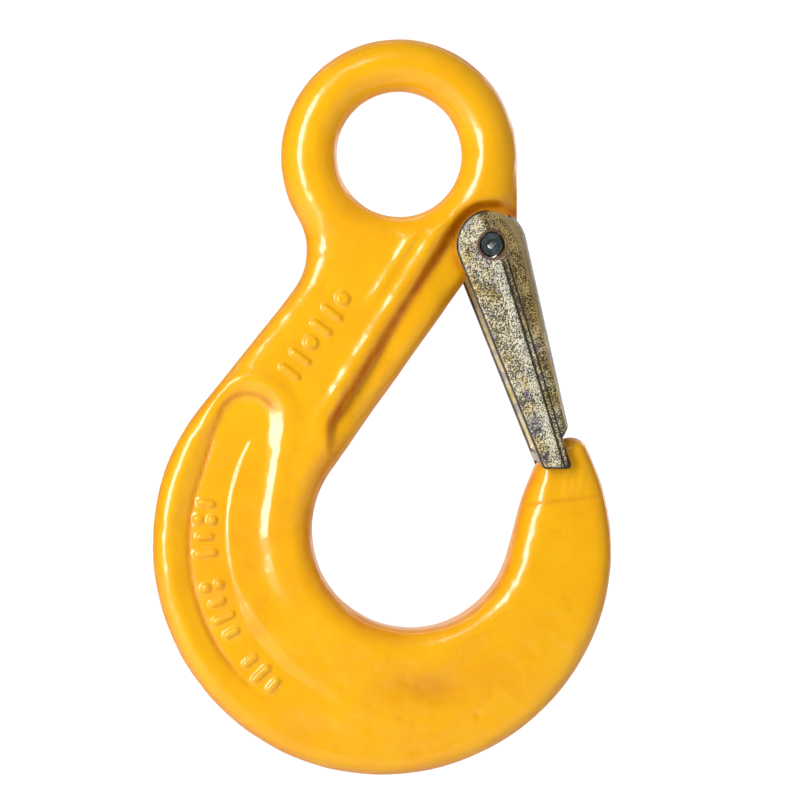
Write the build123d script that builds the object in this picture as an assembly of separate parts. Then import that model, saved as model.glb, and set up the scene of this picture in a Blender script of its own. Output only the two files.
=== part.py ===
from build123d import *
import math
import os

# Eye sling hook with a sprung safety latch, in millimetres.
# Frame: origin at the centre of the eye's bore, +Z up towards the crown of the eye, +X towards the
# hook's mouth, +Y along the bore. The hook hangs from its eye. Its two faces are alike.

# ---------------------------------------------------------------- driving dimensions
EYE_BORE_R = 12.5           # bore of the eye
EYE_OUTER_R = 23.6
EYE_HALF_THICK = 5.5
BORE_ROUND = 3.6            # rounded edge of the bore
BOWL_X, BOWL_Z, BOWL_R = 2.5, -74.8, 20.0     # circle the load hangs in
BACK_X, BACK_Z, BACK_R = -3.4, -77.8, 45.6    # outside of the bowl
BODY_HALF_THICK = 9.2       # at the saddle
TIP_HALF_THICK = 5.9        # between the latch's cheeks
EDGE_ROUND = 3.2            # rounded edge of the forging
LUG_HALF_THICK = 3.2        # the thin lug and ledge that the latch straddles
RIM_WIDTH = 6.6             # rim left standing behind the pocket
POCKET_DEPTH = 0.8
MARK_HEIGHT = 0.4           # raised plain dots in the pocket
MARK_R = 1.1
MARK_RING_R = 33.5
MARK_ANGLES = [-4, -10, -16, -40, -46, -52]

PIN_X, PIN_Z, PIN_R = 18.1, -18.35, 2.5
PIN_LENGTH = 16.6
PIN_CORE_R = 0.6            # left open at the middle of the coiled pin
LUG_R = 4.6

LATCH_HALF_WIDTH = 8.5      # over the cheeks
LATCH_WALL = 2.0
LATCH_LEAN = 20.5           # degrees between the closed latch's crease and straight down
LATCH_TOP_R = 7.1
LATCH_HOLE_R = 2.55         # runs on the pin
FACET_INSET = 2.0           # how much narrower the latch is at its back than over its cheeks
CREASE_X = 0.3              # where the cheek turns in, from the pin's axis

WIRE_R = 0.42               # latch spring
COIL_R = 3.3
COIL_TURNS = 2
LEG_LENGTH = 12.5
COIL_GAP = 0.12             # from the coil to the lug, and from the coil to the cheek
SPRING_HOLE_R = 0.75
SPRING_HOLE_X, SPRING_HOLE_Z = 13.0, -21.6


# ---------------------------------------------------------------- outlines
# An outline is a belt laid round circles: (x, z, radius, turn), where turn is 1 where the belt
# turns anticlockwise round the circle and -1 where it turns clockwise.
HOOK_OUTLINE = [
    (0.0, -0.6, EYE_OUTER_R, 1),
    (-31.6, -19.3, 13.1, -1),                     # neck
    (-58.6, -3.8, 44.0, -1),
    (-7.2, -76.9, 41.8, 1),                       # upper back
    (BACK_X, BACK_Z, BACK_R, 1),
    (2.2, -78.6, 39.95, 1),                       # front of the bowl
    (9.9, -75.4, 31.9, 1),                        # outside of the tip
    (34.3, -60.0, 3.4, 1),                        # end of the tip
    (29.7, -63.8, 2.8, 1),                        # inside of the tip
    (55.6, -79.0, 32.6, 1),
    (BOWL_X, BOWL_Z, BOWL_R, -1),
    (16.2, -28.0, 4.0, -1),                       # where the shank meets the lug
    (PIN_X, PIN_Z, LUG_R, 1),
    (19.3, -13.4, 4.4, 1),                        # shoulder over the lug
]
LEDGE_OUTLINE = [                                 # lug and ledge that the open latch folds over
    (PIN_X, PIN_Z, 8.4, 1),
    (-8.9, -55.2, 5.2, 1),
    (12.0, -54.0, 5.0, 1),
    (34.0, -26.0, 5.0, 1),
]
LATCH_OUTLINE = [                                 # hanging straight down from the pin's axis
    (0.0, 0.0, LATCH_TOP_R, 1),
    (-4.8, -44.5, 0.8, 1),
    (-0.65, -46.1, 0.8, 1),
    (0.95, -40.95, 0.7, -1),
    (0.9, -38.2, 1.8, 1),                         # end of the web
]
LATCH_HOLLOW = [                                  # between the cheeks, above the nose
    (-14.0, 14.0), (-14.0, -45.6), (-1.7, -39.8), (0.6, -38.7), (5.3, 0.0), (5.3, 14.0)]
TIP_SPACE = [                                     # between the cheeks, below the nose
    (-14.0, -47.5), (-0.95, -41.4), (0.6, -41.1), (6.0, -41.1), (6.0, -52.0), (-14.0, -52.0)]
POCKET_OUTLINE = [                                # shallow pocket behind the bowl
    (-7.2, -76.9, 41.8 - RIM_WIDTH, 1),
    (BACK_X, BACK_Z, BACK_R - RIM_WIDTH, 1),
    (-14.0, -113.2, 2.4, 1),
    (BOWL_X, BOWL_Z, BOWL_R + 9.0, -1),
    (-30.5, -54.0, 4.0, 1),
]


def belt(circles):
    """The face inside a belt laid round the circles, on the XZ plane."""
    count = len(circles)
    headings, leaves, arrives = [], [], [None] * count
    for i, (x1, z1, r1, turn1) in enumerate(circles):
        x2, z2, r2, turn2 = circles[(i + 1) % count]
        span = math.hypot(x2 - x1, z2 - z1)
        heading = math.atan2(z2 - z1, x2 - x1) - math.asin((turn2 * r2 - turn1 * r1) / span)
        left_x, left_z = -math.sin(heading), math.cos(heading)
        headings.append(heading)
        leaves.append((x1 - turn1 * r1 * left_x, 0, z1 - turn1 * r1 * left_z))
        arrives[(i + 1) % count] = (x2 - turn2 * r2 * left_x, 0, z2 - turn2 * r2 * left_z)
    edges = []
    for i, (x, z, r, turn) in enumerate(circles):
        swing = (turn * (headings[i] - headings[i - 1])) % math.tau
        middle = headings[i - 1] + turn * swing / 2
        halfway = (x + turn * r * math.sin(middle), 0, z - turn * r * math.cos(middle))
        edges.append(ThreePointArc(arrives[i], halfway, leaves[i]))
        edges.append(Line(leaves[i], arrives[(i + 1) % count]))
    return make_face(Curve() + edges)


def outline(points):
    """The face inside straight lines between (x, z) points, on the XZ plane."""
    return make_face(Polyline([(x, 0, z) for x, z in points], close=True))


def plate(face, low, high):
    """The face made into a plate that reaches from low to high along Y."""
    return Pos(0, low, 0) * extrude(face, high - low, dir=(0, 1, 0))


def both_faces(solid):
    """A shape on the +Y side of the hook, and the same on the -Y side."""
    return solid + mirror(solid, Plane.XZ)


# ---------------------------------------------------------------- hook
def hook():
    """The forged hook: eye, lug, shank, bowl and tip in one piece."""
    body = plate(belt(HOOK_OUTLINE), -BODY_HALF_THICK, BODY_HALF_THICK)
    body -= both_faces(thinned(60, -60, 40, EYE_HALF_THICK, -22, -52, 70))
    body -= both_faces(thinned(9, 60, -50, TIP_HALF_THICK, -66, -87, 40))
    body = fillet([edge for edge in body.edges() if edge_runs_along_a_face(edge)], EDGE_ROUND)
    body -= cylinder(0, 0, EYE_BORE_R, EYE_HALF_THICK + 1)
    bore_edges = [
        edge for edge in body.edges().filter_by(GeomType.CIRCLE)
        if abs(edge.radius - EYE_BORE_R) < 0.01 and abs(abs(edge.position_at(0.5).Y)
                                                        - EYE_HALF_THICK) < 0.01]
    body = fillet(bore_edges, BORE_ROUND)
    body -= both_faces(plate(belt(LEDGE_OUTLINE), LUG_HALF_THICK, BODY_HALF_THICK + 1))
    body -= both_faces(plate(belt(POCKET_OUTLINE), BODY_HALF_THICK - POCKET_DEPTH,
                             BODY_HALF_THICK + 1))
    for degrees in MARK_ANGLES:
        x = BACK_X - MARK_RING_R * math.cos(math.radians(degrees))
        z = BACK_Z + MARK_RING_R * math.sin(math.radians(degrees))
        mark = Pos(x, BODY_HALF_THICK - POCKET_DEPTH + MARK_HEIGHT / 2, z) * Rot(90, 0, 0)
        body += both_faces(mark * Cylinder(MARK_R, MARK_HEIGHT))
    body -= cylinder(PIN_X, PIN_Z, PIN_R, LUG_HALF_THICK + 1)
    body -= cylinder(SPRING_HOLE_X, SPRING_HOLE_Z, SPRING_HOLE_R, LUG_HALF_THICK + 1)
    return body


def thinned(near_x, far_x, top_z, half_thick, from_z, to_z, blend):
    """What is cut from a face, between near_x and far_x, so that it thins smoothly above to_z."""
    slope = FilletPolyline(
        (near_x, half_thick, top_z), (near_x, half_thick, from_z), (near_x, BODY_HALF_THICK, to_z),
        (near_x, BODY_HALF_THICK, -130), radius=blend)
    back = Polyline(slope @ 1, (near_x, 30, -130), (near_x, 30, top_z), slope @ 0)
    return extrude(make_face(Curve() + [slope, back]), abs(far_x - near_x),
                   dir=(math.copysign(1, far_x - near_x), 0, 0))


def edge_runs_along_a_face(edge):
    """True for the edges round the two faces, False for edges that cross the thickness."""
    start, end = edge.position_at(0.02).Y, edge.position_at(0.98).Y
    return min(abs(start), abs(end)) > EYE_HALF_THICK - 0.5 and start * end > 0 and (
        not edge_crosses_a_face(edge))


def edge_crosses_a_face(edge):
    """True for the level lines where a slope begins or ends."""
    start, end = edge.position_at(0), edge.position_at(1)
    return abs(start.Z - end.Z) < 1e-4 and abs(start.Y - end.Y) < 1e-4 and (
        edge.geom_type == GeomType.LINE)


def cylinder(x, z, radius, half_length):
    """A cylinder along Y, centred on the XZ plane."""
    return Pos(x, 0, z) * Rot(90, 0, 0) * Cylinder(radius, 2 * half_length)


# ---------------------------------------------------------------- latch
# The latch is drawn hanging straight down from the pin's axis, with its x out of the hook's mouth,
# and is then leant to its closed place.
def latch():
    """The forged channel that closes the mouth: two cheeks, a web and a nose over the tip."""
    body = plate(belt(LATCH_OUTLINE), -LATCH_HALF_WIDTH, LATCH_HALF_WIDTH)
    body -= both_faces(facet(CREASE_X, LATCH_HALF_WIDTH, FACET_INSET))
    inside = LATCH_HALF_WIDTH - LATCH_WALL
    hollow = plate(outline(LATCH_HOLLOW), -inside, inside)
    hollow -= both_faces(facet(COIL_R + WIRE_R + 0.2, inside, 0.9))
    body -= hollow
    body -= plate(outline(TIP_SPACE), -inside, inside)
    notch = LUG_HALF_THICK + 0.7
    body -= plate(outline([(0, -2.6), (12, -2.6), (12, 12), (0, 12)]), -notch, notch)
    body -= cylinder(0, 0, LATCH_HOLE_R, LATCH_HALF_WIDTH + 1)
    return leant(body)


def facet(from_x, from_y, inset):
    """The wedge that slants a cheek in towards the web."""
    corners = [(from_x, from_y, -60), (8, from_y - inset, -60), (8, from_y + 5, -60),
               (from_x, from_y + 5, -60)]
    return extrude(make_face(Polyline(corners, close=True)), 80, dir=(0, 0, 1))


def leant(shape):
    """A shape drawn in the latch's own frame, in its place on the hook."""
    return Pos(PIN_X, 0, PIN_Z) * Rot(0, -LATCH_LEAN, 0) * shape


# ---------------------------------------------------------------- pin and spring
def pin():
    """The coiled pin, drawn as a plain pin with a fine hole; it is pressed into the lug."""
    body = Cylinder(PIN_R, PIN_LENGTH)
    body = chamfer(body.edges().filter_by(GeomType.CIRCLE), 0.35)
    body -= Cylinder(PIN_CORE_R, PIN_LENGTH + 1)
    return Pos(PIN_X, 0, PIN_Z) * Rot(90, 0, 0) * body


def spring():
    """The latch spring: two coils on the pin, joined by a bridge through the lug."""
    side = spring_side()
    return side + mirror(side, Plane.XZ)


def spring_side():
    """One coil, from the middle of the bridge to the end of the leg that presses on the web."""
    near = LUG_HALF_THICK + COIL_GAP + WIRE_R
    far = LATCH_HALF_WIDTH - LATCH_WALL - COIL_GAP - WIRE_R
    to_hole = math.atan2(SPRING_HOLE_Z - PIN_Z, SPRING_HOLE_X - PIN_X)
    reach = math.hypot(SPRING_HOLE_Z - PIN_Z, SPRING_HOLE_X - PIN_X)
    first = math.tau + to_hole - math.acos(COIL_R / reach)
    last = math.radians(LATCH_LEAN) - COIL_TURNS * math.tau
    turns = (first - last) / math.tau
    outward = (math.cos(first), 0, math.sin(first))
    start = Plane(origin=(PIN_X, near, PIN_Z), x_dir=outward, z_dir=(0, 1, 0))
    coil = start * Helix(pitch=(far - near) / turns, height=far - near, radius=COIL_R)
    lead = math.sqrt(reach ** 2 - COIL_R ** 2)
    bend = coil @ 0 - lead * Vector(math.sin(first), 0, -math.cos(first))
    bridge = FilletPolyline(Vector(bend.X, 0, bend.Z), bend, coil @ 0, radius=0.6)
    leg = Line(coil @ 1, coil @ 1 + LEG_LENGTH * Vector(math.sin(last), 0, -math.cos(last)))
    wire = wire_along(coil, True) + wire_along(bridge, False) + wire_along(leg, False)
    for end in (coil @ 0, coil @ 1):
        wire += Pos(*end) * Sphere(WIRE_R)
    return wire


def wire_along(path, curls):
    """Round wire along a path."""
    section = Plane(origin=path @ 0, z_dir=path % 0) * Circle(WIRE_R)
    return sweep(section, path=path, is_frenet=curls)


os.makedirs("parts", exist_ok=True)
export_step(hook(), "parts/hook_body.step")
export_step(latch(), "parts/latch.step")
export_step(pin(), "parts/latch_pin.step")
export_step(spring(), "parts/latch_spring.step")
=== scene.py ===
"""Eye sling hook with a sprung latch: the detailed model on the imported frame.

Shapes are drawn in millimetres in the part's own frame, with +X out of the hook's mouth, +Y along
the eye's bore and +Z up towards the crown of the eye, and are made into objects in metres.
"""
import math

import bpy
import numpy as np
from mathutils import Matrix, Vector


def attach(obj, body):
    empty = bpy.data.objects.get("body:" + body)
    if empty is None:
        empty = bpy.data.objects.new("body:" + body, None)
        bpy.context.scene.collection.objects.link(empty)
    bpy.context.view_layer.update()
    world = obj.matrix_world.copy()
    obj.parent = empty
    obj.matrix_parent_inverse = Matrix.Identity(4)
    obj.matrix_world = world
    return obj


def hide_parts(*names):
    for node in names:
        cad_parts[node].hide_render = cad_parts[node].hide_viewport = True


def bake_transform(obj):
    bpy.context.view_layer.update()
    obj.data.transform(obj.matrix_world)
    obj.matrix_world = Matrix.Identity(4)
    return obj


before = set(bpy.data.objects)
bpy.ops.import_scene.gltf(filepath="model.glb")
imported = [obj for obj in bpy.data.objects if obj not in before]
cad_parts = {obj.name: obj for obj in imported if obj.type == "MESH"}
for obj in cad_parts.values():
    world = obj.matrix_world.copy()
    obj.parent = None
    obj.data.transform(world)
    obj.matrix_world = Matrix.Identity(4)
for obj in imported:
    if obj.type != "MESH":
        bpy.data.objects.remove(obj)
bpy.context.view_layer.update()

MM = 0.001
HOOK, LATCH = "hook", "latch"

# ---------------------------------------------------------------- dimensions, in millimetres
BORE_R = 12.5
BOWL_X, BOWL_Z, BOWL_R = 2.5, -74.8, 20.0
BACK_X, BACK_Z, BACK_R = -3.4, -77.8, 45.6
EYE_HALF, FACE_HALF, TIP_HALF, LEDGE_HALF = 5.5, 8.95, 5.9, 3.2
PIN_X, PIN_Z, PIN_R, PIN_HALF = 18.1, -18.35, 2.5, 8.3
LATCH_LEAN = math.radians(20.5)
LATCH_HALF, LATCH_WALL, LATCH_TOP_R, LATCH_HOLE_R = 8.5, 2.0, 7.1, 2.55
RIM_WIDTH = 6.6             # rim left standing behind the pocket

EDGE_ROUND, SOFTER_ROUND = 3.4, 1.6             # edges of the forging, and what eye and bowl add
RING_MIDDLE_R, RING_HALF_WIDTH = 18.0, 5.6      # middle of the eye's section
RING_ROUNDNESS = 0.6        # 0 for a flat eye, 1 for an ellipse
POCKET_DEPTH, GROOVE_DEPTH = 1.1, 0.3
ARCH_BEAD, POCKET_BEAD, BAND_HEIGHT = 0.62, 0.22, 0.3
LEDGE_BEAD, SHORT_BEAD, LEDGE_RISE = 0.72, 0.6, 1.9
TIP_LINE_TILT, TIP_LINE_STEP = 0.12, 0.3        # cross line below the thinned tip
RUN_PLACES, RUN_HEIGHT = (33.0, 34.5, 36.0), 0.2    # runs in the enamel on the tip
HOLLOW_X, HOLLOW_Z, HOLLOW_DEPTH = 4.5, -106.0, 0.28
MARK_HEIGHT, MARK_RING_R = 0.7, 41.3
PUNCH_AT, PUNCH_DEPTH = (15.2, -111.5), 0.25
LEVEL_OFF, SWELL = 9.0, 0.35                    # raised shapes level off above here

PIN_SHEET, PIN_PITCH, PIN_TURNS = 0.31, 0.48, 3.3
WIRE_R, COIL_R, COIL_TURNS, COIL_GAP, LEG_LENGTH = 0.42, 3.3, 2, 0.12, 12.5
SPRING_HOLE_X, SPRING_HOLE_Z = 13.0, -21.6
HOOK_STEP, LATCH_STEP = 0.51, 0.3               # sides of the meshes' cells

# Outlines are belts laid round circles: (x, z, radius, turn), where turn is 1 where the belt
# turns anticlockwise round the circle and -1 where it turns clockwise.
HOOK_OUTLINE = [
    (0.0, -0.6, 23.6, 1), (-31.6, -19.3, 13.1, -1), (-58.6, -3.8, 44.0, -1),
    (-7.2, -76.9, 41.8, 1), (BACK_X, BACK_Z, BACK_R, 1), (2.2, -78.6, 39.95, 1),
    (9.9, -75.4, 31.9, 1), (34.3, -60.0, 3.4, 1), (29.7, -63.8, 2.8, 1),
    (55.6, -79.0, 32.6, 1), (BOWL_X, BOWL_Z, BOWL_R, -1), (16.2, -28.0, 4.0, -1),
    (PIN_X, PIN_Z, 4.6, 1), (19.3, -13.4, 4.4, 1)]
LEDGE_OUTLINE = [
    (PIN_X, PIN_Z, 8.4, 1), (-8.9, -55.2, 5.2, 1), (-10.6, -67.0, 3.4, 1), (12.0, -60.0, 5.0, 1),
    (34.0, -26.0, 5.0, 1)]
POCKET_OUTLINE = [
    (-7.2, -76.9, 41.8 - RIM_WIDTH, 1), (BACK_X, BACK_Z, BACK_R - RIM_WIDTH, 1),
    (-14.0, -113.2, 2.4, 1), (BOWL_X, BOWL_Z, BOWL_R + 9.7, -1), (-30.4, -53.6, 6.2, 1)]
# These hang straight down from the pin's axis, in the latch's own frame.
LATCH_OUTLINE = [
    (0.0, 0.0, LATCH_TOP_R, 1), (-5.3, -44.6, 0.8, 1), (-1.3, -46.1, 0.8, 1),
    (0.35, -41.2, 0.7, -1), (0.0, -38.3, 1.8, 1)]
HOLLOW_OUTLINE = [
    (-16.0, 16.0, 1.0, 1), (-16.0, -45.0, 1.0, 1), (-1.0, -38.0, 1.0, 1), (4.3, 0.0, 1.0, 1),
    (4.3, 16.0, 1.0, 1)]
TIP_SPACE_OUTLINE = [
    (-14.0, -48.0, 0.6, 1), (-14.0, -54.0, 0.6, 1), (7.0, -54.0, 0.6, 1), (7.0, -41.6, 0.6, 1),
    (0.4, -41.55, 0.6, 1)]


# ---------------------------------------------------------------- fields
def belt(circles):
    """A belt's arcs, [(x, z, radius, turn, from, swing)], and its straight runs, [(start, end)]."""
    count = len(circles)
    headings, leaves, arrives = [], [], [None] * count
    for i, (x1, z1, r1, turn1) in enumerate(circles):
        x2, z2, r2, turn2 = circles[(i + 1) % count]
        span = math.hypot(x2 - x1, z2 - z1)
        heading = math.atan2(z2 - z1, x2 - x1) - math.asin((turn2 * r2 - turn1 * r1) / span)
        left_x, left_z = -math.sin(heading), math.cos(heading)
        headings.append(heading)
        leaves.append((x1 - turn1 * r1 * left_x, z1 - turn1 * r1 * left_z))
        arrives[(i + 1) % count] = (x2 - turn2 * r2 * left_x, z2 - turn2 * r2 * left_z)
    arcs = [(x, z, r, turn, headings[i - 1], (turn * (headings[i] - headings[i - 1])) % math.tau)
            for i, (x, z, r, turn) in enumerate(circles)]
    runs = [(leaves[i], arrives[(i + 1) % count]) for i in range(count)]
    return arcs, runs


def inside(outline, x, z):
    """Signed distance to a belt, negative inside it."""
    arcs, runs = belt(outline)
    best = np.full(np.broadcast(x, z).shape, 1e9)
    signed = np.full(best.shape, 1e9)

    def keep(distance, sign):
        nonlocal best, signed
        nearer = distance < best
        best = np.where(nearer, distance, best)
        signed = np.where(nearer, distance * sign, signed)

    for (x0, z0), (x1, z1) in runs:
        dx, dz = x1 - x0, z1 - z0
        along = np.clip(((x - x0) * dx + (z - z0) * dz) / (dx * dx + dz * dz), 0, 1)
        off_x, off_z = x - x0 - along * dx, z - z0 - along * dz
        keep(np.hypot(off_x, off_z), np.where(dx * off_z - dz * off_x > 0, -1, 1))
    for cx, cz, r, turn, heading, swing in arcs:
        reach = np.hypot(x - cx, z - cz)
        bearing = np.arctan2(z - cz, x - cx) + turn * math.pi / 2
        passed = (turn * (bearing - heading)) % math.tau
        on_arc = passed <= swing
        keep(np.where(on_arc, np.abs(reach - r), 1e9), np.where(reach < r, -turn, turn))
    return signed


def ease(value, start, end):
    """0 before start, 1 after end, smooth between."""
    t = np.clip((value - start) / (end - start), 0, 1)
    return t * t * (3 - 2 * t)


def bump(value, centre, width):
    """A smooth hump, 1 at centre."""
    return np.exp(-((value - centre) / width) ** 2)


def both(a, b, radius):
    """Solid where a and b are both negative, with the edge between them rounded."""
    u, v = a + radius, b + radius
    return np.minimum(np.maximum(u, v), 0) + np.hypot(np.maximum(u, 0), np.maximum(v, 0)) - radius


def less(a, b, radius):
    """a with b taken away, with rounded edges."""
    return both(a, -b, radius)


# ---------------------------------------------------------------- meshes
def skin(field, low, high, step):
    """Vertices and quads on the surface where field is 0, by surface nets, in millimetres."""
    axes = [np.arange(a, b + step, step) for a, b in zip(low, high)]
    x, y, z = np.meshgrid(*axes, indexing="ij")
    value = field(x, y, z)
    solid = value < 0
    shape = tuple(n - 1 for n in solid.shape)
    total, hits = np.zeros(shape + (3,)), np.zeros(shape)
    corners = [(i, j, k) for i in (0, 1) for j in (0, 1) for k in (0, 1)]

    def at(grid, corner):
        return grid[tuple(slice(c, c + n) for c, n in zip(corner, shape))]

    for corner in corners:
        for axis in range(3):
            if corner[axis]:
                continue
            other = tuple(c + (axis == a) for a, c in enumerate(corner))
            v0, v1 = at(value, corner), at(value, other)
            crossing = at(solid, corner) != at(solid, other)
            share = np.where(crossing, v0 / np.where(crossing, v0 - v1, 1), 0)
            for a in range(3):
                place = corner[a] + (share if a == axis else 0)
                total[..., a] += np.where(crossing, place, 0)
            hits += crossing
    active = hits > 0
    index = np.full(shape, -1)
    index[active] = np.arange(active.sum())
    cells = np.argwhere(active)
    points = (cells + total[active] / hits[active][:, None]) * step + np.array(low)

    quads = []
    for axis in range(3):
        a, b = [(1, 2), (2, 0), (0, 1)][axis]
        start, end = [slice(None)] * 3, [slice(None)] * 3
        start[axis], end[axis] = slice(0, -1), slice(1, None)
        change = solid[tuple(start)].astype(int) - solid[tuple(end)].astype(int)
        for sign in (1, -1):
            at_edge = np.argwhere(change == sign)
            keep = (at_edge[:, a] > 0) & (at_edge[:, b] > 0) & (
                at_edge[:, a] < shape[a]) & (at_edge[:, b] < shape[b])
            at_edge = at_edge[keep]
            ring = []
            for back_a, back_b in ((0, 0), (1, 0), (1, 1), (0, 1)):
                cell = at_edge.copy()
                cell[:, a] -= back_a
                cell[:, b] -= back_b
                ring.append(index[tuple(cell.T)])
            ring = np.stack(ring, axis=1)
            quads.append(ring if sign == 1 else ring[:, ::-1])
    return settle(points, field), np.concatenate(quads)


def settle(points, field, rounds=4, reach=0.05):
    """Moves points straight to the surface."""
    for _ in range(rounds):
        value, slope = field(*points.T), []
        for axis in range(3):
            shift = np.zeros(3)
            shift[axis] = reach
            slope.append((field(*(points + shift).T) - field(*(points - shift).T)) / (2 * reach))
        slope = np.stack(slope, axis=1)
        size = np.maximum((slope ** 2).sum(axis=1), 0.25)
        points = points - np.clip(value / size, -0.3, 0.3)[:, None] * slope
    return points


def mesh_object(name, points, faces, place=Matrix()):
    """A smooth mesh object from points in millimetres."""
    mesh = bpy.data.meshes.new(name)
    mesh.from_pydata([tuple(float(c) * MM for c in p) for p in points], [],
                     [tuple(int(i) for i in face) for face in faces])
    mesh.transform(place)
    mesh.validate()
    mesh.update()
    mesh.shade_smooth()
    obj = bpy.data.objects.new(name, mesh)
    bpy.context.scene.collection.objects.link(obj)
    return obj


def solid_object(name, points, faces, body, place=Matrix()):
    """A mesh object that rides on a body in the place of the plain solid of the same name."""
    obj = mesh_object(name, points, faces, place)
    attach(obj, body)
    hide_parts(name)
    return obj


def paint(obj, name, values):
    """A value from 0 to 1 at each point, for the materials to read."""
    layer = obj.data.attributes.new(name, "FLOAT", "POINT")
    layer.data.foreach_set("value", np.asarray(values, dtype=np.float32))


# ---------------------------------------------------------------- hook
def turned(x, z, centre_x, centre_z, bearing):
    """A place in axes whose first runs along bearing, in degrees anticlockwise from +X."""
    c, s = math.cos(math.radians(bearing)), math.sin(math.radians(bearing))
    dx, dz = x - centre_x, z - centre_z
    return dx * c + dz * s, dz * c - dx * s


def boss(x, z, at, radius):
    """A round raised dot."""
    return ease(np.hypot(x - at[0], z - at[1]), radius + 0.45, radius - 0.25)


def bar(x, z, at, bearing, half_length, half_width):
    """A straight raised bar with round ends."""
    u, v = turned(x, z, *at, bearing)
    off = np.hypot(np.maximum(np.abs(u) - half_length + half_width, 0), v)
    return ease(off, half_width + 0.45, half_width - 0.25)


def marks(x, z):
    """Plain raised bars and dots in the pocket, and a short row of them on the shank."""
    high = 0 * x
    for place in range(13):
        bearing = 172.5 + 4.6 * place
        c, s = math.cos(math.radians(bearing)), math.sin(math.radians(bearing))
        if place in (4, 9):
            continue
        if place % 4 == 1:
            for reach in (MARK_RING_R - 1.4, MARK_RING_R + 1.3):
                high = np.maximum(high, boss(x, z, (BOWL_X + reach * c, BOWL_Z + reach * s), 0.8))
        else:
            at = (BOWL_X + MARK_RING_R * c, BOWL_Z + MARK_RING_R * s)
            high = np.maximum(high, bar(x, z, at, bearing, 2.2 if place % 2 else 1.6, 0.55))
    for place in range(6):
        at = (-11.5 - 2.1 * place, -29.0 - 2.9 * place)
        if place % 3 == 0:
            high = np.maximum(high, boss(x, z, at, 1.25))
        else:
            high = np.maximum(high, bar(x, z, at, 144, 2.2, 0.5))
    return high


def from_hollow(x, z):
    """Distance from the middle of the long hollow below the bowl."""
    return np.hypot((x - HOLLOW_X) / 2.0, z - HOLLOW_Z)


def with_pocket(high, x, z):
    """The pocket behind the bowl, its groove, the beads round it and the band along it."""
    from_bowl = np.hypot(x - BOWL_X, z - BOWL_Z)
    bearing = np.degrees(np.arctan2(z - BOWL_Z, x - BOWL_X)) % 360
    pocket = inside(POCKET_OUTLINE, x, z)
    fade = ease(z, -112.0, -94.0)
    outer = ease(from_bowl, 35.0, 38.0) * ease(-z, 52.0, 58.0)
    high = high - POCKET_DEPTH * ease(-pocket, -1.5 - 1.8 * outer, 2.5 - 2.1 * outer) * fade * (
        1 - (1 - outer) * ease(-z, 84.0, 94.0))
    high = high - GROOVE_DEPTH * bump(pocket, -0.4, 0.6) * outer * fade
    high = high + ARCH_BEAD * bump(pocket, 2.8, 1.6) * ease(z, -54.0, -49.0)
    high = high + POCKET_BEAD * bump(pocket, 2.4, 1.6) * ease(z, -92.0, -78.0) * (1 - outer)
    band = ease(from_bowl, 37.2, 36.6) * ease(bearing, 148, 153) * (1 - ease(bearing, 198, 212))
    return high + BAND_HEIGHT * band * ease(-pocket, 0.0, 2.5)


def with_ledge(high, x, z):
    """The thin ledge that the latch folds over, and the beads beside it."""
    ledge = inside(LEDGE_OUTLINE, x, z)
    low = ease(-ledge, -0.9, 1.0) * ease(z, -63.5, -47.0)
    uneven = 0.95 + 0.14 * np.sin(0.51 * z + 0.7) * np.sin(1.13 * z + 0.2 * x)
    high = high + LEDGE_BEAD * uneven * bump(ledge, 2.3, 1.3) * ease(-z, 9.0, 16.0) * ease(
        z, -60.0, -44.0)
    high = high + SHORT_BEAD * bump(ledge, 5.8, 1.2) * ease(-z, 12.0, 17.0) * ease(
        z, -32.0, -27.0)
    floor = LEDGE_HALF + LEDGE_RISE * ease(np.hypot(x - PIN_X, z - PIN_Z), 7.0, 22.0)
    return high + (floor - high) * low


def with_tip(high, x, z):
    """The thinned tip, the line across it and the runs in its enamel."""
    across = TIP_LINE_TILT * (x - 24)
    narrow = (TIP_HALF + TIP_LINE_STEP * ease(-z, 69.4 - across, 70.6 - across)
              + (FACE_HALF - TIP_HALF - TIP_LINE_STEP) * ease(-z, 66.0, 92.0))
    high = np.where((x > 9) & (z < -50), np.minimum(high, narrow), high)
    for run in RUN_PLACES:
        high = high + RUN_HEIGHT * bump(x - 0.12 * (z + 65.5), run, 0.45) * ease(
            z, -69.0, -67.0) * ease(-z, 62.0, 63.5)
    return high


def face_height(x, z):
    """Half the hook's thickness over a place on its plan."""
    high = EYE_HALF + (FACE_HALF - EYE_HALF) * ease(z, -17.0, -56.0)
    off_centre = np.minimum(((np.hypot(x, z) - RING_MIDDLE_R) / RING_HALF_WIDTH) ** 2, 1.3)
    high = high * (1 - (1 - np.sqrt(1 - RING_ROUNDNESS * off_centre)) * ease(z, -22.0, -12.0))
    high = with_tip(with_ledge(with_pocket(high, x, z), x, z), x, z)
    high = high - HOLLOW_DEPTH * bump(from_hollow(x, z), 0, 3.4)
    high = high + MARK_HEIGHT * marks(x, z)
    high = high - PUNCH_DEPTH * boss(x, z, PUNCH_AT, 0.7)
    over = np.maximum(high - LEVEL_OFF, 0)
    return high - over + SWELL * (1 - np.exp(-over / SWELL))


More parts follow.
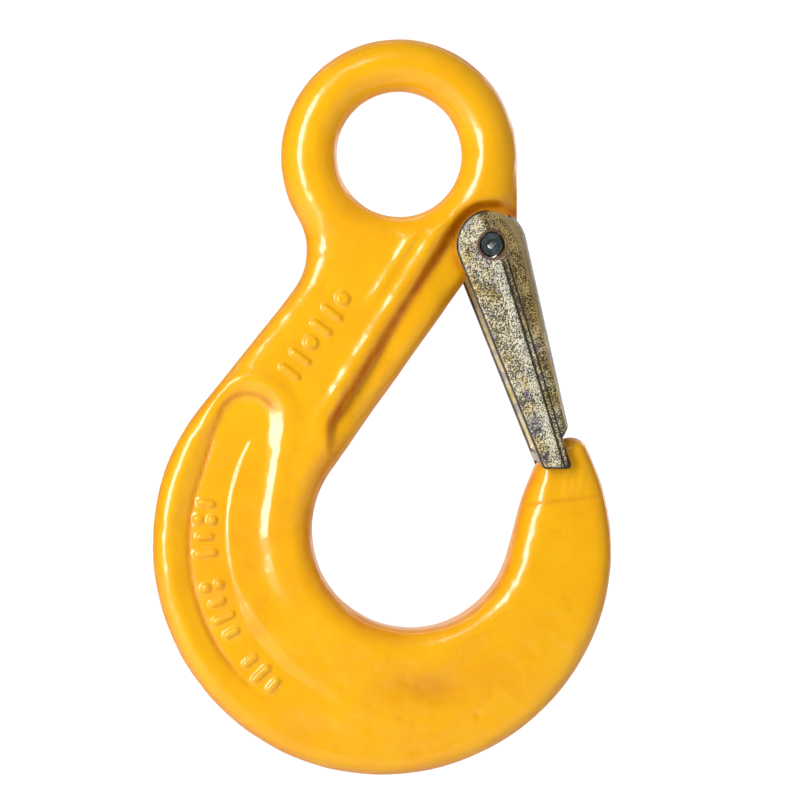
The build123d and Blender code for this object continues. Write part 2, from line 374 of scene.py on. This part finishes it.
def hook_field(x, y, z):
    """Near enough the signed distance to the hook."""
    plan = np.maximum(inside(HOOK_OUTLINE, x, z), BORE_R - np.hypot(x, z))
    waves = (0.05 * np.sin(0.31 * x + 0.9) * np.sin(0.27 * z + 0.2 * y)
             + 0.04 * np.sin(0.57 * x - 0.43 * z + 0.3 * y)
             + 0.025 * np.sin(0.9 * x + 1.3 * np.sin(0.4 * z)) * np.sin(1.05 * z + 0.6))
    high = face_height(x, z) + waves
    near_eye = ease(z, -32.0, -17.0)
    near_bowl = 1 - ease(np.hypot(x - BOWL_X, z - BOWL_Z), 24.0, 31.0)
    radius = np.minimum(EDGE_ROUND + SOFTER_ROUND * near_eye + SOFTER_ROUND * near_bowl,
                        high - 0.4)
    body = both(plan + 0.6 * waves, np.abs(y) - high, radius)
    return less(body, np.hypot(x - PIN_X, z - PIN_Z) - PIN_R, 0.3)


def painted_shade(x, z):
    """Painted shade: darker along steps, grooves and edges, in a ring round the latch's top where
    its cheek would shade the hook, and in the hollow.
    """
    ledge = inside(LEDGE_OUTLINE, x, z)
    plan = inside(HOOK_OUTLINE, x, z)
    pocket = inside(POCKET_OUTLINE, x, z)
    from_bowl = np.hypot(x - BOWL_X, z - BOWL_Z)
    shade_mask = bump(ledge, -0.3, 1.15) * ease(z, -62.0, -52.0)
    tip_line = bump(z - TIP_LINE_TILT * (x - 24), -70.0, 0.5) * ease(x, 20.0, 26.0)
    shade_mask = np.maximum(shade_mask, 0.35 * tip_line)
    shade_mask = np.maximum(shade_mask, 0.7 * bump(np.hypot(x - PIN_X, z - PIN_Z), 7.4, 0.8))
    shade_mask = np.maximum(shade_mask, 0.75 * bump(pocket, -0.4, 0.55) * ease(from_bowl, 35.0, 38.0)
                      * ease(z, -110.0, -98.0))
    shade_mask = np.maximum(shade_mask, 0.6 * bump(plan, 0.0, 1.0))
    shade_mask = np.maximum(shade_mask, 0.6 * bump(from_bowl, BOWL_R, 2.6) * ease(-x, -12.0, 8.0))
    return np.maximum(shade_mask, 0.5 * bump(from_hollow(x, z), 0, 3.6))


def make_hook():
    """The forging, with its sides marked for a duller enamel and for painted shade."""
    step = HOOK_STEP
    points, faces = skin(hook_field, (-51, -11, -126), (45, 11, 26), step)
    hook = solid_object("hook_body", points, faces, HOOK)
    facing = np.abs([vertex.normal.y for vertex in hook.data.vertices])
    side = ease(facing, 0.7, 0.3)
    paint(hook, "side", side)
    # Painted shade: this attribute darkens steps, grooves, edges, the sides and a shadow ring round
    # the latch's top.
    paint(hook, "painted_shade", np.maximum(painted_shade(points[:, 0], points[:, 2]), 0.4 * side))
    return hook


# ---------------------------------------------------------------- latch
def crease_at(z):
    """Where the cheek folds in, at a height on the latch."""
    return 0.9 + 0.064 * z - 0.3 * np.maximum(z + 1.0, 0)


def latch_field(x, y, z):
    """Near enough the signed distance to the latch, which hangs straight down from its pin."""
    y = np.abs(y)
    side = inside(LATCH_OUTLINE, x, z)
    slant = 0.26
    fold = x - crease_at(z)
    groove = 0.2 * bump(fold, 0.3, 0.35) * ease(z, -2.5, -5.0)
    flat = y - LATCH_HALF + 0.03 * np.sin(0.9 * z) * np.sin(0.7 * x)
    sloped = (y - LATCH_HALF + slant * (fold - 0.2)) / math.hypot(1, slant)
    face = both(flat, sloped, 0.5) + groove
    body = both(side, face, 0.7 + 1.3 * ease(x, -1.0, 2.5))
    wall = LATCH_HALF - LATCH_WALL
    inner_face = np.maximum(y - wall, y - wall + 0.22 * (x - 3.9))
    hollow = both(inside(HOLLOW_OUTLINE, x, z), inner_face, 0.5)
    body = less(body, hollow, 0.35)
    body = less(body, both(inside(TIP_SPACE_OUTLINE, x, z), y - wall, 0.3), 0.3)
    notch = np.maximum(np.maximum(-x, -2.6 - z), y - 3.9)
    body = less(body, notch, 0.3)
    return less(body, np.hypot(x, z) - LATCH_HOLE_R, 0.2)


def in_place():
    """From the latch's own frame, in metres, to its place on the hook."""
    lean = Matrix.Rotation(-LATCH_LEAN, 4, "Y")
    return Matrix.Translation((PIN_X * MM, 0, PIN_Z * MM)) @ lean


def make_latch():
    """The latch, with what its plating's patches, pits and stain, and the painted shade and
    highlight on it, follow.
    """
    step = LATCH_STEP
    points, faces = skin(latch_field, (-9, -9.6, -48.5), (9, 9.6, 8.6), step)
    latch = solid_object("latch", points, faces, LATCH, in_place())
    x, y, z = points.T
    fold = x - crease_at(z)
    paint(latch, "fold", fold)
    paint(latch, "from pin", np.hypot(x, z))
    paint(latch, "from rim", -inside(LATCH_OUTLINE, x, z))
    paint(latch, "outside", ease(np.abs(y), 7.2, 7.7))
    paint(latch, "below", ease(z, -2.0, -4.5))
    paint(latch, "low", ease(z, -26.0, -12.0))
    paint(latch, "foot", ease(z, -45.2, -46.4))
    return latch


# ---------------------------------------------------------------- pin and spring
def make_pin():
    """A pin rolled up from sheet: a spiral drawn through, with tapered ends."""
    steps = 150
    stations = [(-PIN_HALF, 0.32), (-PIN_HALF + 0.12, 0.2), (-PIN_HALF + 0.9, 0.0),
                (PIN_HALF - 0.9, 0.0), (PIN_HALF - 0.12, 0.2), (PIN_HALF, 0.32)]
    profile = []
    for i in range(steps + 1):
        angle = math.tau * PIN_TURNS * i / steps
        profile.append((angle, PIN_R - 0.03 - PIN_PITCH * angle / math.tau))
    points, faces = [], []
    loop = [(a, r, 0) for a, r in profile] + [(a, r, PIN_SHEET) for a, r in reversed(profile)]
    for y, taper in stations:
        for angle, r, inward in loop:
            squeeze = taper * max(0.0, (r - 1.2) / PIN_R)
            reach = r - inward - squeeze
            points.append((PIN_X + reach * math.cos(angle + 0.9), y,
                           PIN_Z + reach * math.sin(angle + 0.9)))
    count = len(loop)
    for ring in range(len(stations) - 1):
        for i in range(count):
            a, b = ring * count + i, ring * count + (i + 1) % count
            faces.append((a, a + count, b + count, b))
    for base, flip in ((0, False), ((len(stations) - 1) * count, True)):
        for i in range(steps):
            quad = (base + i, base + i + 1, base + count - 2 - i, base + count - 1 - i)
            faces.append(quad[::-1] if flip else quad)
    pin = solid_object("latch_pin", points, faces, HOOK)
    pin.data.set_sharp_from_angle(angle=math.radians(40))
    return pin


def spring_path():
    """The middle of one half's wire, from inside the lug to the leg's end, and where it coils."""
    hole_x, hole_z = SPRING_HOLE_X - PIN_X, SPRING_HOLE_Z - PIN_Z
    near = LEDGE_HALF + COIL_GAP + WIRE_R
    far = LATCH_HALF - LATCH_WALL - COIL_GAP - WIRE_R
    reach = math.hypot(hole_x, hole_z)
    first = math.tau + math.atan2(hole_z, hole_x) - math.acos(COIL_R / reach)
    last = LATCH_LEAN - COIL_TURNS * math.tau
    side = [(hole_x, near * t, hole_z) for t in (0.0, 0.3, 0.6, 0.85)]
    side += [(hole_x * (1 - t) + COIL_R * math.cos(first) * t, near,
              hole_z * (1 - t) + COIL_R * math.sin(first) * t) for t in (0.12, 0.4, 0.7)]
    steps = 72
    for i in range(steps + 1):
        angle = first + (last - first) * i / steps
        side.append((COIL_R * math.cos(angle), near + (far - near) * i / steps,
                     COIL_R * math.sin(angle)))
    for t in (0.25, 0.5, 0.75, 0.95, 1.0):
        side.append((COIL_R * math.cos(last) + LEG_LENGTH * t * math.sin(last), far - 0.02,
                     COIL_R * math.sin(last) - LEG_LENGTH * t * math.cos(last)))
    return [(PIN_X + x, y, PIN_Z + z) for x, y, z in side], near, far


def tube(path, radius, sides=12):
    """A round wire along a path, with rounded ends."""
    path = np.array(path)
    ways = np.gradient(path, axis=0)
    ways /= np.linalg.norm(ways, axis=1)[:, None]
    across = np.cross(ways[0], (0.0, 1.0, 0.3))
    points, faces = [], []
    for place, way in zip(path, ways):
        across = across - way * across.dot(way)
        across /= np.linalg.norm(across)
        up = np.cross(way, across)
        end = min(np.linalg.norm(place - path[0]), np.linalg.norm(place - path[-1]))
        size = radius * (0.45 if end < 0.01 else 1.0)
        for k in range(sides):
            angle = math.tau * k / sides
            points.append(place + size * (across * math.cos(angle) + up * math.sin(angle)))
    for ring in range(len(path) - 1):
        for k in range(sides):
            a, b = ring * sides + k, ring * sides + (k + 1) % sides
            faces.append((a, b, b + sides, a + sides))
    faces.append(tuple(range(sides))[::-1])
    faces.append(tuple((len(path) - 1) * sides + k for k in range(sides)))
    return points, faces


def make_spring():
    """Two coils, one each side of the lug, with legs that lie along inside the latch."""
    path, near, far = spring_path()
    halves = []
    for name, side in (("latch_spring_front", -1), ("latch_spring_rear", 1)):
        points, faces = tube([(x, side * y, z) for x, y, z in path], WIRE_R)
        if side < 0:
            faces = [face[::-1] for face in faces]
        half = mesh_object(name, points, faces)
        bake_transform(half)
        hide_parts("latch_spring")
        halves.append(half)
    return halves


# ---------------------------------------------------------------- materials
class Nodes:
    """A short way to write a node material."""

    def __init__(self, name):
        self.material = bpy.data.materials.new(name)
        self.material.use_nodes = True
        self.tree = self.material.node_tree
        self.shader = self.tree.nodes["Principled BSDF"]
        self.place = self.add("ShaderNodeTexCoord").outputs["Object"]

    def add(self, kind, inputs=(), **settings):
        node = self.tree.nodes.new(kind)
        for key, value in settings.items():
            setattr(node, key, value)
        for key, value in dict(inputs).items():
            self.put(node.inputs[key], value)
        return node

    def put(self, socket, value):
        if isinstance(value, bpy.types.NodeSocket):
            self.tree.links.new(value, socket)
        else:
            socket.default_value = value

    def noise(self, size, detail=2.0, roughness=0.5, stretch=(1, 1, 1)):
        """Noise from 0 to 1 whose lumps are about size millimetres."""
        spread = self.add("ShaderNodeMapping", {"Vector": self.place, "Scale": stretch})
        return self.add("ShaderNodeTexNoise", {
            "Vector": spread.outputs[0], "Scale": 1 / (size * MM), "Detail": detail,
            "Roughness": roughness}).outputs["Fac"]

    def span(self, value, low, high, to_low=0.0, to_high=1.0):
        return self.add("ShaderNodeMapRange", {
            "Value": value, "From Min": low, "From Max": high, "To Min": to_low,
            "To Max": to_high}, interpolation_type="SMOOTHSTEP").outputs["Result"]

    def mix(self, share, a, b):
        node = self.add("ShaderNodeMix", data_type="RGBA")
        self.put(node.inputs["Factor"], share)
        self.put(node.inputs["A"], a)
        self.put(node.inputs["B"], b)
        return node.outputs["Result"]

    def maths(self, operation, *values):
        node = self.add("ShaderNodeMath", operation=operation)
        for socket, value in zip(node.inputs, values):
            self.put(socket, value)
        return node.outputs[0]

    def line(self, value, centre, half_width):
        """1 along a line where value is centre, 0 away from it."""
        off = self.maths("ABSOLUTE", self.maths("SUBTRACT", value, centre))
        return self.span(off, 0.4 * half_width, 1.3 * half_width, 1.0, 0.0)

    def attribute(self, name):
        return self.add("ShaderNodeAttribute", attribute_name=name).outputs["Fac"]

    def bump(self, height, distance, strength=1.0, under=None):
        """A bump whose height from 0 to 1 is distance millimetres."""
        node = self.add("ShaderNodeBump", {
            "Height": height, "Distance": distance * MM, "Strength": strength})
        if under is not None:
            self.put(node.inputs["Normal"], under)
        return node.outputs["Normal"]

    def finish(self, **sockets):
        for key, value in sockets.items():
            self.put(self.shader.inputs[key.replace("_", " ")], value)
        return self.material


def tint(red, green, blue):
    """A colour as a screen shows it, from 0 to 255, made linear."""
    def linear(v):
        v /= 255
        return v / 12.92 if v < 0.04045 else ((v + 0.055) / 1.055) ** 2.4
    return linear(red), linear(green), linear(blue), 1.0


def enamel():
    n = Nodes("golden yellow enamel")
    body = n.mix(n.span(n.noise(9, 3), 0.35, 0.7), tint(253, 181, 0), tint(255, 188, 4))
    uneven = n.span(n.noise(3, 2), 0.2, 0.7, 0.6, 1.0)
    # Painted shade: the enamel turns deep orange where the painted-shade attribute is high.
    painted_shade_share = n.maths("MULTIPLY", n.attribute("painted_shade"), uneven)
    stained = n.maths("MULTIPLY", n.span(n.noise(5, 4, 0.6), 0.56, 0.72), 0.3)
    body = n.mix(stained, body, tint(238, 152, 8))
    body = n.mix(n.span(n.noise(22, 1), 0.45, 0.75, 0.0, 0.35), body, tint(244, 160, 6))
    colour = n.mix(painted_shade_share, body, tint(206, 108, 12))
    peel = n.bump(n.noise(1.2, 2.0), 0.035, 1.0)
    runs = n.bump(n.noise(2.8, 1.0), 0.12, 1.0, peel)
    waves = n.bump(n.noise(6.5, 1.0), 0.35, 1.0, runs)
    return n.finish(Base_Color=colour, Roughness=0.35, Specular_IOR_Level=0.1,
                    Coat_Weight=n.span(n.attribute("side"), 0.0, 1.0, 1.0, 0.1), Coat_IOR=1.5,
                    Coat_Roughness=0.2, Normal=waves, Coat_Normal=waves)


def plated():
    n = Nodes("yellow passivated zinc")
    fold, below, outside = n.attribute("fold"), n.attribute("below"), n.attribute("outside")
    patches = n.mix(n.span(n.noise(5, 3), 0.4, 0.62), tint(248, 236, 198), tint(229, 203, 135))
    violet = n.maths("MULTIPLY", n.span(n.noise(3.2, 2), 0.52, 0.62), 0.7)
    patches = n.mix(violet, patches, tint(172, 168, 186))
    # Painted highlight: a pale band on the flat just before the crease, below the pin.
    crease_highlight = n.maths("MULTIPLY", n.line(fold, -1.1, 1.3), n.maths("MULTIPLY", below, 0.8))
    patches = n.mix(crease_highlight, patches, tint(255, 250, 226))
    dark = n.span(n.attribute("low"), 0.0, 1.0, 0.25, 0.95)
    shaded = n.maths("MULTIPLY", n.span(fold, -0.1, 0.5), dark)
    patches = n.mix(shaded, patches, tint(176, 154, 104))
    # Painted sheen: a golden band on the facet beyond the crease, standing in for reflected light.
    patches = n.mix(n.maths("MULTIPLY", n.line(fold, 3.0, 0.8), 0.6), patches, tint(222, 190, 116))
    grain, spread = n.noise(0.29, 2, 0.62), n.noise(2.8, 2)
    # Fewer pits along the painted highlight and towards the top of the latch.
    fewer_pits = n.maths("ADD", n.maths("MULTIPLY", crease_highlight, 0.04), n.span(below, 0, 1, 0.025, 0.0))
    level = n.maths("ADD", n.maths("ADD", grain, fewer_pits), n.maths("MULTIPLY", spread, 0.3))
    pits = n.span(level, 0.70, 0.635)
    share = n.maths("MULTIPLY", pits, n.span(outside, 0, 1, 0.2, 0.9))
    colour = n.mix(share, patches, tint(26, 19, 14))
    # Painted shade: dark lines along the crease, just inside the latch's outline and at its foot.
    crease = n.maths("MAXIMUM", n.line(fold, 0.1, 0.32), n.line(fold, 1.15, 0.24))
    crease = n.maths("MULTIPLY", crease, n.maths("MULTIPLY", below, outside))
    rim = n.line(n.attribute("from rim"), 0.22, 0.26)
    painted_edge_shade = n.maths("MAXIMUM", crease, n.maths("MAXIMUM", rim, n.attribute("foot")))
    colour = n.mix(n.maths("MULTIPLY", painted_edge_shade, 0.92), colour, tint(34, 26, 20))
    ring = n.maths("MULTIPLY", n.line(n.attribute("from pin"), LATCH_HOLE_R + 0.3, 0.3), outside)
    colour = n.mix(n.maths("MULTIPLY", ring, 0.85), colour, tint(104, 56, 40))
    bump = n.bump(grain, 0.12, 1.0)
    return n.finish(Base_Color=colour, Metallic=0.25, Roughness=n.span(grain, 0.3, 0.7, 0.5, 0.3),
                    Normal=bump)


def blackened():
    n = Nodes("blackened steel")
    shade = n.mix(n.span(n.noise(1.5, 3), 0.35, 0.7), tint(66, 82, 84), tint(112, 128, 130))
    return n.finish(Base_Color=shade, Metallic=0.7,
                    Roughness=n.span(n.noise(0.6), 0.3, 0.7, 0.28, 0.45),
                    Normal=n.bump(n.noise(0.3), 0.01))


def wire_steel():
    n = Nodes("spring wire")
    shade = n.mix(n.span(n.noise(2.0, 3), 0.35, 0.7), tint(150, 148, 142), tint(190, 188, 180))
    return n.finish(Base_Color=shade, Metallic=0.9, Roughness=0.32,
                    Normal=n.bump(n.noise(0.35), 0.01))


def paper():
    n = Nodes("white paper")
    shade = n.mix(n.noise(60, 2), (0.93, 0.93, 0.93, 1), (0.95, 0.95, 0.95, 1))
    return n.finish(Base_Color=shade, Roughness=0.9, Specular_IOR_Level=0.1)


def give(obj, material):
    obj.data.materials.clear()
    obj.data.materials.append(material)


# ---------------------------------------------------------------- studio
def make_floor():
    """A white floor that curves up behind into a wall."""
    floor_z, back_y, bend, top, half = -190, 900, 220, 1500, 2500
    profile = [(-half, floor_z), (back_y - bend, floor_z)]
    for i in range(1, 13):
        a = math.radians(90 * i / 12)
        profile.append((back_y - bend + bend * math.sin(a), floor_z + bend - bend * math.cos(a)))
    profile.append((back_y, top))
    points = [(x, y, z) for y, z in profile for x in (-half, half)]
    faces = [(2 * i, 2 * i + 1, 2 * i + 3, 2 * i + 2) for i in range(len(profile) - 1)]
    floor = mesh_object("floor", points, faces)
    give(floor, paper())


def softbox(name, place, target, size, watts):
    light = bpy.data.lights.new(name, "AREA")
    light.shape = "RECTANGLE"
    light.size, light.size_y = size[0] * MM, size[1] * MM
    light.energy = watts
    obj = bpy.data.objects.new(name, light)
    obj.location = Vector(place) * MM
    way = (Vector(target) - Vector(place)).normalized()
    obj.rotation_mode = "QUATERNION"
    obj.rotation_quaternion = way.to_track_quat("-Z", "Y")
    bpy.context.scene.collection.objects.link(obj)
    return obj


def make_studio():
    """Soft lights. The fills give no highlights, and the glints give nothing else."""
    middle = (0, 0, -50)
    softbox("key", (-390, -410, 90), middle, (120, 480), 2.55)
    softbox("glint", (-390, -410, 90), middle, (150, 440), 2.6).visible_diffuse = False
    softbox("back glint", (390, 430, 110), middle, (150, 440), 1.1).visible_diffuse = False
    softbox("top key", (-160, -400, 430), middle, (200, 120), 0.4)
    softbox("upper fill", (60, -400, 520), middle, (900, 420), 0.4).visible_glossy = False
    softbox("right fill", (1120, -660, 460), middle, (800, 900), 3.5).visible_glossy = False
    softbox("wall light", (0, 300, 450), (0, 900, -60), (1100, 240), 5.0)
    world = bpy.data.worlds.new("studio")
    world.use_nodes = True
    world.node_tree.nodes["Background"].inputs[0].default_value = (1.0, 0.99, 0.97, 1)
    world.node_tree.nodes["Background"].inputs[1].default_value = 0.15
    scene = bpy.context.scene
    scene.world = world
    scene.view_settings.view_transform = "Standard"


def make_camera():
    target = Vector((0.2, 0, -49.1)) * MM
    azimuth, elevation, distance, across = math.radians(-3), 0.0, 700 * MM, 160 * MM
    back = Vector((math.sin(azimuth) * math.cos(elevation),
                   -math.cos(azimuth) * math.cos(elevation), math.sin(elevation)))
    camera = bpy.data.cameras.new("camera")
    camera.sensor_width = 36
    camera.lens = camera.sensor_width * distance / across
    camera.clip_start, camera.clip_end = 0.01, 20
    obj = bpy.data.objects.new("camera", camera)
    obj.location = target + back * distance
    obj.rotation_mode = "QUATERNION"
    obj.rotation_quaternion = (-back).to_track_quat("-Z", "Y")
    bpy.context.scene.collection.objects.link(obj)
    bpy.context.scene.camera = obj


give(make_hook(), enamel())
give(make_latch(), plated())
give(make_pin(), blackened())
spring_finish = wire_steel()
for half in make_spring():
    give(half, spring_finish)
make_floor()
make_studio()
make_camera()
